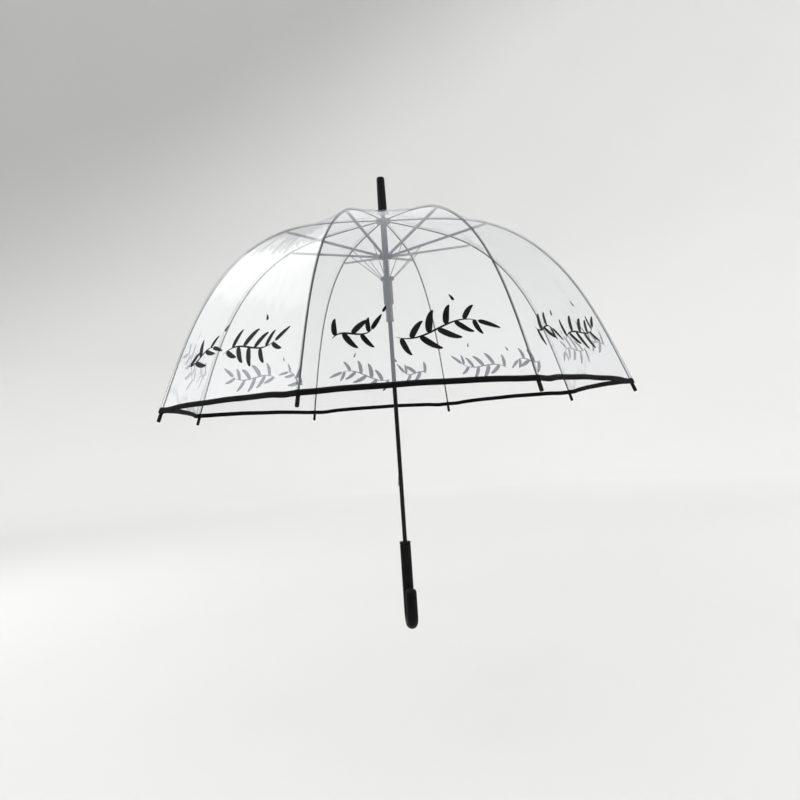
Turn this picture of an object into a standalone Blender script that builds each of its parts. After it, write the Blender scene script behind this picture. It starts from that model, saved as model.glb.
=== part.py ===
"""Clear dome stick umbrella, open. Metres, +Z up, origin under the shaft at the crook's lowest point."""

import math

import bmesh
import bpy
import numpy as np

# Canopy and rib line, in the plane of one rib (r out from the shaft, z up)
RIM_R = 0.420
RIM_Z = 0.4156
RIB_COUNT = 8
FIRST_RIB_DEG = 22.5
NOTCH_PIVOT_R = 0.011
NOTCH_PIVOT_Z = RIM_Z + 0.339
HUB_PIVOT_Z = RIM_Z + 0.2715
JOINT_R = 0.1957
JOINT_Z = (NOTCH_PIVOT_Z + HUB_PIVOT_Z) / 2
SLOPE_TOP = 7.0
SLOPE_JOINT = 23.0
SLOPE_RIM = 69.0
ARM_HANDLES = (0.046, 0.057)
END_HANDLES = (0.145, 0.127)
ARM_STEPS = 6
END_STEPS = 14
FLEX_STEP = 7

# Rods
ROD_R = 0.0011
ROD_GAP = 0.0006
TIP_R = 0.0030
TIP_SOCKET_R = 0.0015
TIP_IN = 0.0050
TIP_OUT = 0.0195

# Canopy film and hem tape
FILM_OFF = 0.0026
FILM_OFF_RIM = 0.0038
FILM_T = 0.0003
HEM_T = 0.0005
HEM_W = 0.0085
HEM_BOW = 0.0030
HEM_PAST = 0.0055
FILM_SLACK = 0.0055
RIM_SPEED = 3 * END_HANDLES[1]
HEM_V = 2.0 + HEM_PAST / RIM_SPEED
PEAK_Z = RIM_Z + 0.3530
PEAK_R = 0.0056
PEAK_REACH = 0.085
PANEL_STEPS = 6

# Stretchers and struts
CHANNEL_W = 0.0040
CHANNEL_IN = 0.0032
CHANNEL_UP = 0.0021
CHANNEL_DOWN = 0.0015
WEB_T = 0.0005
STRUT_ALONG = 0.061
STRUT_R = 0.00075
STRUT_PIVOT_R = 0.011
STRUT_PIVOT_Z = RIM_Z + 0.229

# Shaft line
SHAFT_R = 0.0040
FIT = 0.0003
SHAFT_TOP = RIM_Z + 0.384
SHAFT_BOTTOM = 0.123
CATCH_Z = 0.2540
CATCH_LEN = 0.020
FERRULE_BASE = RIM_Z + 0.3558
FERRULE_TOP = RIM_Z + 0.4234
FERRULE_R = 0.0087
FERRULE_TIP_R = 0.0072
WASHER_R = 0.0112
WASHER_Z = RIM_Z + 0.3539
WASHER_T = 0.0015
SPRING_R = 0.0055
SPRING_WIRE_R = 0.0007
SPRING_TURNS = 7
RUNNER_R = 0.00915
COLLAR_R = 0.0067
FLANGE_R = 0.0130

# Crook handle
HANDLE_R = 0.0100
HANDLE_SWELL = 0.0005
BEND_R = 0.0250
HANDLE_TOP = 0.1488
RING_TOP = 0.1532
HOOK_END = 0.0750


def clear_scene():
    for obj in list(bpy.data.objects):
        bpy.data.objects.remove(obj, do_unlink=True)
    for block in (bpy.data.meshes, bpy.data.curves, bpy.data.materials, bpy.data.collections):
        for item in list(block):
            block.remove(item)


def collection(name):
    coll = bpy.data.collections.new(name)
    bpy.context.scene.collection.children.link(coll)
    return coll


def material(name, color, rough, metallic=0.0, alpha=1.0):
    mat = bpy.data.materials.new(name)
    mat.use_nodes = True
    node = mat.node_tree.nodes["Principled BSDF"]
    node.inputs["Base Color"].default_value = (*color, 1.0)
    node.inputs["Roughness"].default_value = rough
    node.inputs["Metallic"].default_value = metallic
    node.inputs["Alpha"].default_value = alpha
    mat.diffuse_color = (*color, alpha)
    return mat


# ---------------------------------------------------------------- the rib line


def heading(deg):
    return np.array([math.cos(math.radians(deg)), -math.sin(math.radians(deg))])


def bezier(points, t):
    s = 1.0 - t
    return s**3 * points[0] + 3 * s * s * t * points[1] + 3 * s * t * t * points[2] + t**3 * points[3]


def arm_controls():
    top = np.array([NOTCH_PIVOT_R, NOTCH_PIVOT_Z])
    low = np.array([JOINT_R, JOINT_Z])
    first = top + ARM_HANDLES[0] * heading(SLOPE_TOP)
    second = low - ARM_HANDLES[1] * heading(SLOPE_JOINT)
    return [top, first, second, low]


def end_controls():
    top = np.array([JOINT_R, JOINT_Z])
    low = np.array([RIM_R, RIM_Z])
    first = top + END_HANDLES[0] * heading(SLOPE_JOINT)
    second = low - END_HANDLES[1] * heading(SLOPE_RIM)
    return [top, first, second, low]


def rib_point(v):
    """The rib line at v: 0 at the notch, 1 at the stretcher joint, 2 at the rim, HEM_V past it."""
    if v <= 1.0:
        return bezier(arm_controls(), v)
    return bezier(end_controls(), v - 1.0)


def rib_slope(v):
    low = max(0.0, v - 1e-4)
    high = min(HEM_V, v + 1e-4)
    step = rib_point(high) - rib_point(low)
    return step / np.linalg.norm(step)


def stations():
    arm = [i / ARM_STEPS for i in range(ARM_STEPS)]
    return arm + [1.0 + i / END_STEPS for i in range(END_STEPS + 1)]


def flex_v():
    return 1.0 + FLEX_STEP / END_STEPS


def smooth(x):
    x = min(1.0, max(0.0, x))
    return x * x * (3 - 2 * x)


# ---------------------------------------------------------------- builders


def link(coll, name, data, mat):
    obj = bpy.data.objects.new(name, data)
    coll.objects.link(obj)
    data.materials.clear()
    data.materials.append(mat)
    return obj


def settled(obj):
    """The object's mesh with its modifiers applied; the object itself is removed."""
    bpy.context.view_layer.update()
    graph = bpy.context.evaluated_depsgraph_get()
    mesh = bpy.data.meshes.new_from_object(obj.evaluated_get(graph))
    bpy.data.objects.remove(obj, do_unlink=True)
    return mesh


def outward(mesh):
    bm = bmesh.new()
    bm.from_mesh(mesh)
    bmesh.ops.remove_doubles(bm, verts=bm.verts, dist=0.000005)
    bmesh.ops.recalc_face_normals(bm, faces=bm.faces)
    bm.to_mesh(mesh)
    bm.free()
    return mesh


def rod_curve(name, points, radii, sides=2):
    curve = bpy.data.curves.new(name, "CURVE")
    curve.dimensions = "3D"
    curve.bevel_depth = 1.0
    curve.bevel_resolution = sides
    curve.use_fill_caps = True
    curve.twist_mode = "MINIMUM"
    spline = curve.splines.new("POLY")
    spline.points.add(len(points) - 1)
    for knot, point, radius in zip(spline.points, points, radii):
        knot.co = (*point, 1.0)
        knot.radius = radius
    return curve


def rod_mesh(coll, name, points, radii, mat, sides=2):
    obj = link(coll, name, rod_curve(name, points, radii, sides), mat)
    return outward(settled(obj))


def lathe(coll, name, profile, mat, steps=32, closed=True):
    """A turned piece: (r, z) points running down the outside from the top."""
    mesh = bpy.data.meshes.new(name)
    bm = bmesh.new()
    verts = [bm.verts.new((r, 0.0, z)) for r, z in profile]
    for a, b in zip(verts, verts[1:]):
        bm.edges.new((a, b))
    if closed:
        bm.edges.new((verts[-1], verts[0]))
    bm.to_mesh(mesh)
    bm.free()
    obj = link(coll, name, mesh, mat)
    mod = obj.modifiers.new("turn", "SCREW")
    mod.axis = "Z"
    mod.angle = math.tau
    mod.steps = steps
    mod.render_steps = steps
    mod.use_merge_vertices = True
    mod.merge_threshold = 0.00005
    return obj


def box(coll, name, center, size, mat):
    mesh = bpy.data.meshes.new(name)
    bm = bmesh.new()
    bmesh.ops.create_cube(bm, size=1.0)
    bmesh.ops.scale(bm, vec=size, verts=bm.verts)
    bmesh.ops.translate(bm, vec=center, verts=bm.verts)
    bm.to_mesh(mesh)
    bm.free()
    return link(coll, name, mesh, mat)


def cutter(coll, name, center, size, mat, turn=0.0):
    obj = box(coll, name, center, size, mat)
    obj.rotation_euler = (0.0, 0.0, turn)
    obj.hide_render = True
    obj.display_type = "WIRE"
    return obj


def cut(obj, tool, operation="DIFFERENCE"):
    mod = obj.modifiers.new(operation.lower(), "BOOLEAN")
    mod.operation = operation
    mod.solver = "EXACT"
    mod.object = tool


def bevel(obj, width, segments=2, angle=40.0):
    mod = obj.modifiers.new("bevel", "BEVEL")
    mod.width = width
    mod.segments = segments
    mod.limit_method = "ANGLE"
    mod.angle_limit = math.radians(angle)


def rib_angles():
    return [math.radians(FIRST_RIB_DEG + 360.0 / RIB_COUNT * k) for k in range(RIB_COUNT)]


def around(coll, name, mesh, pivot, mat):
    """Eight copies about the shaft, each with its origin on its own pivot."""
    for index, angle in enumerate(rib_angles(), 1):
        copy = mesh.copy()
        obj = link(coll, f"{name}_{index}", copy, mat)
        obj.location = (pivot[0] * math.cos(angle), pivot[0] * math.sin(angle), pivot[1])
        obj.rotation_euler = (0.0, 0.0, angle)
    bpy.data.meshes.remove(mesh)


# ---------------------------------------------------------------- ribs


def rod_between(coll, name, first, last, pivot, trim, radii_at, mat):
    """A rod along the rib line between two stations, trimmed in from both."""
    inside = [v for v in stations() if first < v < last]
    values = [first] + inside + [last]
    points = [rib_point(v) for v in values]
    points[0] = points[0] + rib_slope(first) * trim[0]
    points[-1] = points[-1] - rib_slope(last) * trim[1]
    local = [(p[0] - pivot[0], 0.0, p[1] - pivot[1]) for p in points]
    mesh = rod_mesh(coll, name, local, [radii_at(v) for v in values], mat)
    around(coll, name, mesh, pivot, mat)


def rib_arms(coll, mat):
    pivot = rib_point(0.0)

    def radius(v):
        return ROD_R

    rod_between(coll, "rib_arm", 0.0, 1.0, pivot, (-ROD_R, ROD_GAP), radius, mat)


def rib_mids(coll, mat):
    pivot = rib_point(1.0)

    def radius(v):
        return ROD_R

    rod_between(coll, "rib_mid", 1.0, flex_v(), pivot, (ROD_GAP, ROD_GAP), radius, mat)


def rib_ends(coll, mat):
    pivot = rib_point(flex_v())

    def radius(v):
        return ROD_R

    rod_between(coll, "rib_end", flex_v(), 2.0, pivot, (ROD_GAP, FIT), radius, mat)


def tips(coll, mat):
    profile = [
        (0.0, -TIP_OUT),
        (TIP_R * 0.72, -TIP_OUT),
        (TIP_R * 0.93, -TIP_OUT + 0.0005),
        (TIP_R, -TIP_OUT + 0.0014),
        (TIP_R, TIP_IN - 0.0012),
        (TIP_R * 0.85, TIP_IN),
        (TIP_SOCKET_R, TIP_IN),
        (TIP_SOCKET_R, -0.0006),
        (0.0, -0.0006),
    ]
    mesh = settled(lathe(coll, "tip", profile, mat, 12, closed=False))
    outward(mesh)
    slope = rib_slope(2.0)
    lean = math.atan2(-slope[0], -slope[1])
    spin = np.array([[math.cos(lean), 0, math.sin(lean)], [0, 1, 0], [-math.sin(lean), 0, math.cos(lean)]])
    for vert in mesh.vertices:
        vert.co = spin @ np.array(vert.co)
    around(coll, "tip", mesh, (RIM_R, RIM_Z), mat)


# ---------------------------------------------------------------- stretchers and struts


def stretcher_line():
    """Length and slope of the line from the hub pivot out to the joint on the rib."""
    run = JOINT_R - NOTCH_PIVOT_R
    rise = JOINT_Z - HUB_PIVOT_Z
    return math.hypot(run, rise), math.atan2(rise, run)


def stretchers(coll, tools, mat):
    length, slope = stretcher_line()
    tall = CHANNEL_UP + CHANNEL_DOWN
    middle = (CHANNEL_UP - CHANNEL_DOWN) / 2
    body = box(coll, "stretcher", (-length / 2, 0, middle), (length + 0.0032, CHANNEL_W, tall), mat)
    inner = (CHANNEL_UP - WEB_T) + CHANNEL_DOWN + 0.002
    low = CHANNEL_UP - WEB_T - inner / 2
    cut(body, cutter(tools, "channel_cut", (-length / 2, 0, low), (length + 0.02, CHANNEL_IN, inner), mat))
    cut(body, cutter(tools, "rib_ear_cut", (-0.004, 0, 0.0013 + 0.002), (0.020, 0.02, 0.004), mat))
    cut(body, cutter(tools, "rib_ear_under", (0.0, 0, -0.0013 - 0.002), (0.012, 0.02, 0.004), mat))
    cut(body, cutter(tools, "hub_ear_cut", (-length - 0.001, 0, 0.0014 + 0.002), (0.008, 0.02, 0.004), mat))
    mesh = outward(settled(body))
    spin = np.array([[math.cos(slope), 0, -math.sin(slope)], [0, 1, 0], [math.sin(slope), 0, math.cos(slope)]])
    for vert in mesh.vertices:
        vert.co = spin @ np.array(vert.co)
    around(coll, "stretcher", mesh, (JOINT_R, JOINT_Z), mat)


def strut_pivot():
    length, slope = stretcher_line()
    r = NOTCH_PIVOT_R + STRUT_ALONG * math.cos(slope)
    z = HUB_PIVOT_Z + STRUT_ALONG * math.sin(slope)
    return np.array([r, z])


def struts(coll, mat):
    pivot = strut_pivot()
    foot = np.array([STRUT_PIVOT_R, STRUT_PIVOT_Z]) - pivot
    line = foot / np.linalg.norm(foot)
    marks = [-STRUT_R, -STRUT_R * 0.6, 0.0]
    points = [line * m for m in marks] + [foot + line * (-m) for m in reversed(marks)]
    radii = [STRUT_R * 0.45, STRUT_R * 0.85, STRUT_R, STRUT_R, STRUT_R * 0.85, STRUT_R * 0.45]
    local = [(p[0], 0.0, p[1]) for p in points]
    mesh = rod_mesh(coll, "strut", local, radii, mat)
    around(coll, "strut", mesh, pivot, mat)


# ---------------------------------------------------------------- canopy


def film_point(v, angle, off):
    """A point of the canopy at rib station v, bearing angle and height off the inner face."""
    part = 2 * math.pi / RIB_COUNT
    first = math.radians(FIRST_RIB_DEG)
    across = ((angle - first) % part) / part
    side = 2 * across - 1
    sag = 1 - side * side
    if v > 1.0:
        v -= HEM_BOW / RIM_SPEED * sag * (v - 1.0)
    point = rib_point(v)
    slope = rib_slope(v)
    normal = np.array([-slope[1], slope[0]])
    height = FILM_OFF + (FILM_OFF_RIM - FILM_OFF) * smooth((v - 1.75) / 0.22) + off
    height -= FILM_SLACK * sag * smooth(v / 0.5) * (1 - smooth((v - 0.9) / 0.9))
    r, z = point + normal * height
    away = (angle - first) % part - part / 2
    chord = math.cos(part / 2) / math.cos(away)
    flat = smooth(r / 0.06)
    r = r * (1 + (chord - 1) * flat)
    return r, z


def peak(r, z, off):
    """Lift the crown of the film up to the ferrule."""
    top = PEAK_Z + off
    base = NOTCH_PIVOT_Z + FILM_OFF + off
    share = max(0.0, 1 - (r - PEAK_R) / (PEAK_REACH - PEAK_R))
    return z + (top - base) * share * share


def film_solid(coll, name, rows, thick, start, mat):
    """Sweep a thin closed strip about the shaft, then lay each ring on the canopy."""
    base = 0.3
    outer = [(base + thick, -v) for v in rows]
    inner = [(base, -v) for v in reversed(rows)]
    mesh = settled(lathe(coll, name, outer + inner, mat, RIB_COUNT * PANEL_STEPS, closed=True))
    for vert in mesh.vertices:
        x, y, z = vert.co
        angle = math.atan2(y, x)
        angle = math.radians(7.5) * round(angle / math.radians(7.5))
        off = start + (thick if math.hypot(x, y) - base > thick / 2 else 0.0)
        r, height = film_point(-z, angle, off)
        if -z < 1e-6:
            r = PEAK_R
        height = peak(r, height, off)
        vert.co = (r * math.cos(angle), r * math.sin(angle), height)
    outward(mesh)
    return link(coll, name, mesh, mat)


def canopy(coll, mat):
    film_solid(coll, "canopy", stations() + [HEM_V], FILM_T, 0.0, mat)


def hem_band(coll, mat):
    rows = [HEM_V - HEM_W / RIM_SPEED, HEM_V]
    film_solid(coll, "hem_band", rows, HEM_T, FILM_T + FIT, mat)


# ---------------------------------------------------------------- shaft line


def shaft(coll, tools, mat):
    profile = [
        (0.0, SHAFT_TOP),
        (SHAFT_R - 0.0006, SHAFT_TOP),
        (SHAFT_R, SHAFT_TOP - 0.0006),
        (SHAFT_R, SHAFT_BOTTOM + 0.0006),
        (SHAFT_R - 0.0006, SHAFT_BOTTOM),
        (0.0, SHAFT_BOTTOM),
    ]
    obj = lathe(coll, "shaft", profile, mat, 32, closed=False)
    size = (0.0050, 0.0018 + 2 * FIT, CATCH_LEN + 0.0012)
    cut(obj, cutter(tools, "catch_slot", (-0.0030, 0, CATCH_Z + CATCH_LEN / 2), size, mat))


def catch(coll, mat):
    """A thin spring tongue, wedge-nosed, that presses into the shaft."""
    obj = box(coll, "catch", (0, 0, CATCH_LEN / 2), (0.0032, 0.0018, CATCH_LEN), mat)
    for vert in obj.data.vertices:
        if vert.co.x < 0 and vert.co.z > CATCH_LEN / 2:
            vert.co.x += 0.0014
        if vert.co.x < 0 and vert.co.z < CATCH_LEN / 2:
            vert.co.z += 0.0022
    obj.location = (-0.0045, 0, CATCH_Z)
    bevel(obj, 0.0003, 2)


def ferrule(coll, mat):
    top = FERRULE_TOP
    base = FERRULE_BASE
    profile = [
        (0.0, top),
        (FERRULE_TIP_R - 0.0016, top),
        (FERRULE_TIP_R, top - 0.0016),
        (FERRULE_TIP_R + 0.0005, top - 0.0115),
        (FERRULE_TIP_R + 0.0001, top - 0.0120),
        (FERRULE_TIP_R + 0.0001, top - 0.0128),
        (FERRULE_TIP_R + 0.0006, top - 0.0133),
        (FERRULE_R - 0.0003, base + 0.0040),
        (FERRULE_R, base + 0.0034),
        (FERRULE_R, base + 0.0005),
        (FERRULE_R - 0.0005, base),
        (SHAFT_R + FIT, base),
        (SHAFT_R + FIT, SHAFT_TOP + FIT),
        (0.0, SHAFT_TOP + FIT),
    ]
    lathe(coll, "ferrule", profile, mat, 40, closed=False)


def ring(coll, name, inner, outer, low, high, edge, mat, steps=40):
    profile = [
        (inner, high),
        (outer - edge, high),
        (outer, high - edge),
        (outer, low + edge),
        (outer - edge, low),
        (inner, low),
    ]
    return lathe(coll, name, profile, mat, steps)


def slotted(obj, tools, name, inner, width, low, high, mat):
    """Full-height radial slots for the pieces pinned to a hub."""
    reach = 0.012
    for index, angle in enumerate(rib_angles(), 1):
        middle = inner + reach / 2
        center = (middle * math.cos(angle), middle * math.sin(angle), (low + high) / 2)
        tool = cutter(tools, f"{name}_{index}", (0, 0, 0), (reach, width, high - low), mat, angle)
        tool.location = center
        cut(obj, tool)


def canopy_washer(coll, mat):
    ring(coll, "canopy_washer", SHAFT_R + FIT, WASHER_R, WASHER_Z, WASHER_Z + WASHER_T, 0.0004, mat)


def top_notch(coll, tools, mat):
    low = NOTCH_PIVOT_Z - 0.0042
    high = NOTCH_PIVOT_Z + 0.0034
    obj = ring(coll, "top_notch", SHAFT_R + FIT, 0.0135, low, high, 0.0006, mat, 48)
    slotted(obj, tools, "notch_slot", 0.0090, 0.0030, low - 0.01, high + 0.01, mat)


def upper_runner(coll, tools, mat):
    low = HUB_PIVOT_Z - 0.0038
    high = HUB_PIVOT_Z + 0.0040
    top = NOTCH_PIVOT_Z - 0.0048
    profile = [
        (SHAFT_R + FIT, top),
        (0.0055, top),
        (0.0058, top - 0.0004),
        (0.0058, high + 0.0012),
        (0.0070, high),
        (FLANGE_R - 0.0006, high),
        (FLANGE_R, high - 0.0006),
        (FLANGE_R, low + 0.0006),
        (FLANGE_R - 0.0006, low),
        (0.0070, low),
        (0.0066, low - 0.0012),
        (SHAFT_R + FIT, low - 0.0012),
    ]
    obj = lathe(coll, "upper_runner", profile, mat, 48)
    slotted(obj, tools, "hub_slot", 0.0078, 0.0047, low - 0.01, high + 0.01, mat)


def lower_runner(coll, tools, mat):
    high = STRUT_PIVOT_Z + 0.0028
    low = STRUT_PIVOT_Z - 0.0030
    body = RIM_Z + 0.1802
    foot = RIM_Z + 0.1478
    profile = [
        (SHAFT_R + FIT, high + 0.0010),
        (0.0068, high + 0.0010),
        (0.0074, high),
        (FLANGE_R - 0.0006, high),
        (FLANGE_R, high - 0.0006),
        (FLANGE_R, low + 0.0006),
        (FLANGE_R - 0.0006, low),
        (RUNNER_R, low - 0.0004),
        (RUNNER_R, body + 0.0006),
        (RUNNER_R - 0.0006, body),
        (COLLAR_R, body - 0.0004),
        (COLLAR_R, foot + 0.0034),
        (COLLAR_R + 0.0009, foot + 0.0028),
        (COLLAR_R + 0.0009, foot + 0.0006),
        (COLLAR_R + 0.0004, foot),
        (SHAFT_R + FIT, foot),
    ]
    obj = lathe(coll, "lower_runner", profile, mat, 48)
    slotted(obj, tools, "strut_slot", 0.00955, 0.0023, low - 0.01, high + 0.01, mat)


def spring(coll, mat):
    """Compression spring between the two runners."""
    low = STRUT_PIVOT_Z + 0.0048
    high = HUB_PIVOT_Z - 0.0060
    steps = SPRING_TURNS * 12
    points = []
    for i in range(steps + 1):
        angle = math.tau * SPRING_TURNS * i / steps
        z = low + (high - low) * i / steps
        points.append((SPRING_R * math.cos(angle), SPRING_R * math.sin(angle), z))
    obj = link(coll, "spring", rod_curve("spring", points, [SPRING_WIRE_R] * len(points), 1), mat)
    mesh = outward(settled(obj))
    link(coll, "spring", mesh, mat)


# ---------------------------------------------------------------- handle


def handle(coll, tools, mat):
    points = []
    radii = []
    bend_z = HANDLE_R + HANDLE_SWELL + BEND_R
    for z in (HANDLE_TOP, HANDLE_TOP - 0.0012, 0.120, 0.080, 0.055):
        points.append((0, 0, z))
        radii.append(HANDLE_R)
    radii[0] = HANDLE_R - 0.0010
    for i in range(17):
        turn = math.pi * i / 16
        points.append((0, -BEND_R + BEND_R * math.cos(turn), bend_z - BEND_R * math.sin(turn)))
        radii.append(HANDLE_R + HANDLE_SWELL * math.sin(turn))
    for z in (0.055, HOOK_END - 0.0030, HOOK_END - 0.0010, HOOK_END):
        points.append((0, -2 * BEND_R, z))
        radii.append(HANDLE_R)
    radii[-2] = HANDLE_R - 0.0006
    radii[-1] = HANDLE_R - 0.0022
    obj = link(coll, "handle", rod_curve("handle", points, radii, 8), mat)
    solid = link(coll, "handle", outward(settled(obj)), mat)
    bore = ring(tools, "handle_bore", 0.0, SHAFT_R + FIT, SHAFT_BOTTOM - FIT, HANDLE_TOP + 0.01, 0.0, mat)
    profile_fix = settled(bore)
    tool = link(tools, "handle_bore", outward(profile_fix), mat)
    tool.hide_render = True
    tool.display_type = "WIRE"
    cut(solid, tool)


def handle_ring(coll, mat):
    ring(coll, "handle_ring", SHAFT_R + FIT, HANDLE_R + 0.0004, HANDLE_TOP + FIT, RING_TOP, 0.0008, mat)


def main():
    clear_scene()
    coll = collection("clear_dome_umbrella")
    tools = collection("cutters")
    film = material("clear_film", (0.86, 0.89, 0.92), 0.08, 0.0, 0.25)
    tape = material("hem_tape", (0.02, 0.02, 0.022), 0.55)
    steel = material("rib_rod", (0.03, 0.03, 0.034), 0.35, 0.3)
    channel = material("stretcher_channel", (0.16, 0.17, 0.18), 0.3, 0.8)
    wire = material("strut_wire", (0.20, 0.21, 0.22), 0.3, 0.85)
    caps = material("tip_plastic", (0.015, 0.015, 0.016), 0.4)
    tube = material("shaft_paint", (0.015, 0.015, 0.017), 0.25, 0.2)
    nose = material("ferrule_plastic", (0.018, 0.018, 0.02), 0.4)
    disc = material("washer_plastic", (0.02, 0.02, 0.022), 0.5)
    notch = material("notch_plastic", (0.02, 0.02, 0.022), 0.45)
    hub = material("upper_runner_plastic", (0.02, 0.02, 0.022), 0.45)
    runner = material("lower_runner_plastic", (0.02, 0.02, 0.022), 0.4)
    coil = material("spring_wire", (0.55, 0.56, 0.58), 0.25, 1.0)
    grip = material("handle_soft", (0.02, 0.02, 0.021), 0.6)
    band = material("ring_plastic", (0.03, 0.03, 0.032), 0.3)
    leaf = material("catch_steel", (0.5, 0.5, 0.52), 0.3, 1.0)
    rib_arms(coll, steel)
    rib_mids(coll, steel)
    rib_ends(coll, steel)
    tips(coll, caps)
    stretchers(coll, tools, channel)
    struts(coll, wire)
    canopy(coll, film)
    hem_band(coll, tape)
    shaft(coll, tools, tube)
    catch(coll, leaf)
    ferrule(coll, nose)
    canopy_washer(coll, disc)
    top_notch(coll, tools, notch)
    upper_runner(coll, tools, hub)
    lower_runner(coll, tools, runner)
    spring(coll, coil)
    handle(coll, tools, grip)
    handle_ring(coll, band)


main()
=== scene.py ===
"""Clear dome umbrella with black hem tape: looks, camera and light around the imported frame."""

import math

import bmesh
import bpy
import numpy as np
from mathutils import Matrix, Vector

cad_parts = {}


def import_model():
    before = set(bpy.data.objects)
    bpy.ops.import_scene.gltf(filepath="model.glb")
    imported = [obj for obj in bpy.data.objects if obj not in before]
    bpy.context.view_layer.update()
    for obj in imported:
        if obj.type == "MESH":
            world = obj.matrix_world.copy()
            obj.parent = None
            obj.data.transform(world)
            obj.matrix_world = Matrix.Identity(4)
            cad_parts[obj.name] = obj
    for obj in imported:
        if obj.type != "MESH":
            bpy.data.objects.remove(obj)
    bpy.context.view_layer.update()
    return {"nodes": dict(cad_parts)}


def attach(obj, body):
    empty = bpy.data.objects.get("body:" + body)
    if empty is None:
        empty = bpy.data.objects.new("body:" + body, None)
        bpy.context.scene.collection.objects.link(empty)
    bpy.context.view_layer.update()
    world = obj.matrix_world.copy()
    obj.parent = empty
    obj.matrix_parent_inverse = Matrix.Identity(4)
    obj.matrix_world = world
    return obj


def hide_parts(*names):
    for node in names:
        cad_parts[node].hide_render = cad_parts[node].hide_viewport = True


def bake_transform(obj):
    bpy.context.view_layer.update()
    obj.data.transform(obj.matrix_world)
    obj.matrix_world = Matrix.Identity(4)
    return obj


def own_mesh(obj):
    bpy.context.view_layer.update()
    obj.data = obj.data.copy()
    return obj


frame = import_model()

# ---------------------------------------------------------------- measures shared with the frame
RIM_R = 0.420
RIM_Z = 0.4156
NOTCH = np.array([0.011, RIM_Z + 0.339])
HUB = np.array([0.011, RIM_Z + 0.2715])
JOINT = np.array([0.1957, (NOTCH[1] + HUB[1]) / 2])
RIM = np.array([RIM_R, RIM_Z])
STRUT_FOOT = np.array([0.011, RIM_Z + 0.229])
ARM_HANDLES = (0.046, 0.057)
END_HANDLES = (0.145, 0.127)
SLOPES = (7.0, 23.0, 69.0)
RIBS = 8
PART = math.tau / RIBS
FIRST = math.radians(22.5)
ROD = 0.00125
FILM_OFF = 0.0027
FILM_OFF_RIM = 0.0039
HEM_BOW = 0.0030
HEM_W = 0.0088
HEM_PAST = 0.0055
HEM_DIP = 0.0022
SLACK = 0.0055
WAVE = 0.0005
CREASE = 0.0006
PULL = 0.0005
SCALLOP = 0.0008
RIM_SPEED = 3 * END_HANDLES[1]
HEM_V = 2.0 + HEM_PAST / RIM_SPEED
PEAK_Z = RIM_Z + 0.3531
PEAK_R = 0.0056
PEAK_REACH = 0.085
CROWN_V = 0.17
FLEX_V = 1.5
FERRULE_BASE = RIM_Z + 0.3558
FERRULE_TOP = RIM_Z + 0.4234
HANDLE_TOP = 0.1488
HOOK_END = 0.0750
GRIP_R = 0.0100
GRIP_SWELL = 0.0005
BEND_R = 0.0250
BEND_Z = GRIP_R + GRIP_SWELL + BEND_R
SPRING_R = 0.0059
SPRING_WIRE = 0.0009
SPRING_TURNS = 7
FLUTES = 26
FLUTE_DEPTH = 0.00028
FLOOR_Z = -0.16
UV_PER_METRE = 20


# ---------------------------------------------------------------- the rib line
def heading(deg):
    return np.array([math.cos(math.radians(deg)), -math.sin(math.radians(deg))])


def bezier(p, t):
    s = 1 - t
    return s**3 * p[0] + 3 * s * s * t * p[1] + 3 * s * t * t * p[2] + t**3 * p[3]


def bezier_slope(p, t):
    s = 1 - t
    return s * s * (p[1] - p[0]) + 2 * s * t * (p[2] - p[1]) + t * t * (p[3] - p[2])


ARM = [
    NOTCH,
    NOTCH + ARM_HANDLES[0] * heading(SLOPES[0]),
    JOINT - ARM_HANDLES[1] * heading(SLOPES[1]),
    JOINT,
]
END = [
    JOINT,
    JOINT + END_HANDLES[0] * heading(SLOPES[1]),
    RIM - END_HANDLES[1] * heading(SLOPES[2]),
    RIM,
]


def rib_point(v):
    """Radius and height of the rib at station v: 0 notch, 1 stretcher joint, 2 rim."""
    return bezier(ARM, v) if v <= 1 else bezier(END, v - 1)


def rib_dir(v):
    a, b = max(0.0, v - 1e-4), min(HEM_V, v + 1e-4)
    d = rib_point(b) - rib_point(a)
    return d / np.linalg.norm(d)


def rib_angle(k):
    return FIRST + PART * (k - 1)


def world(r, side, z, phi):
    """A point given by radius, sideways distance and height at bearing phi."""
    c, s = math.cos(phi), math.sin(phi)
    return (r * c - side * s, r * s + side * c, z)


def rib_line(first, last, steps, phi):
    """Points along the rib at bearing phi between two stations."""
    points = [rib_point(v) for v in np.linspace(first, last, steps)]
    return [world(p[0], 0.0, p[1], phi) for p in points]


def arc_table(steps=100):
    """Stations from the stretcher joint to the hem's edge, and the arc length up to each."""
    stations = np.linspace(1, HEM_V, steps + 1)
    points = np.array([rib_point(v) for v in stations])
    lengths = np.cumsum(np.linalg.norm(np.diff(points, axis=0), axis=1))
    return stations, np.concatenate([[0.0], lengths])


ARC_V, ARC_LENGTH = arc_table()


def v_up(height):
    """Rib station at an arc height above the hem's edge."""
    return np.interp(ARC_LENGTH[-1] - height, ARC_LENGTH, ARC_V)


# ---------------------------------------------------------------- canopy surface
def rib_points(v):
    """Rib line and its direction at an array of stations."""
    v = np.clip(np.asarray(v, float), 0.0, HEM_V + HEM_DIP / RIM_SPEED)
    t = np.where(v <= 1, v, v - 1)[..., None]
    on_arm = (v <= 1)[..., None]
    controls = [np.where(on_arm, a, b) for a, b in zip(ARM, END)]
    slope = bezier_slope(controls, t)
    return bezier(controls, t), slope / np.linalg.norm(slope, axis=-1, keepdims=True)


def ease(x):
    x = np.clip(x, 0.0, 1.0)
    return x * x * (3 - 2 * x)


def bell(x, width):
    return np.exp(-((x / width) ** 2))


def belly(across):
    """0 on a rib and 1 in the middle of a panel."""
    return 1 - (2 * across - 1) ** 2


def from_rib(across):
    """Share of a panel's width to the nearest rib."""
    return np.minimum(across, 1 - across)


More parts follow.
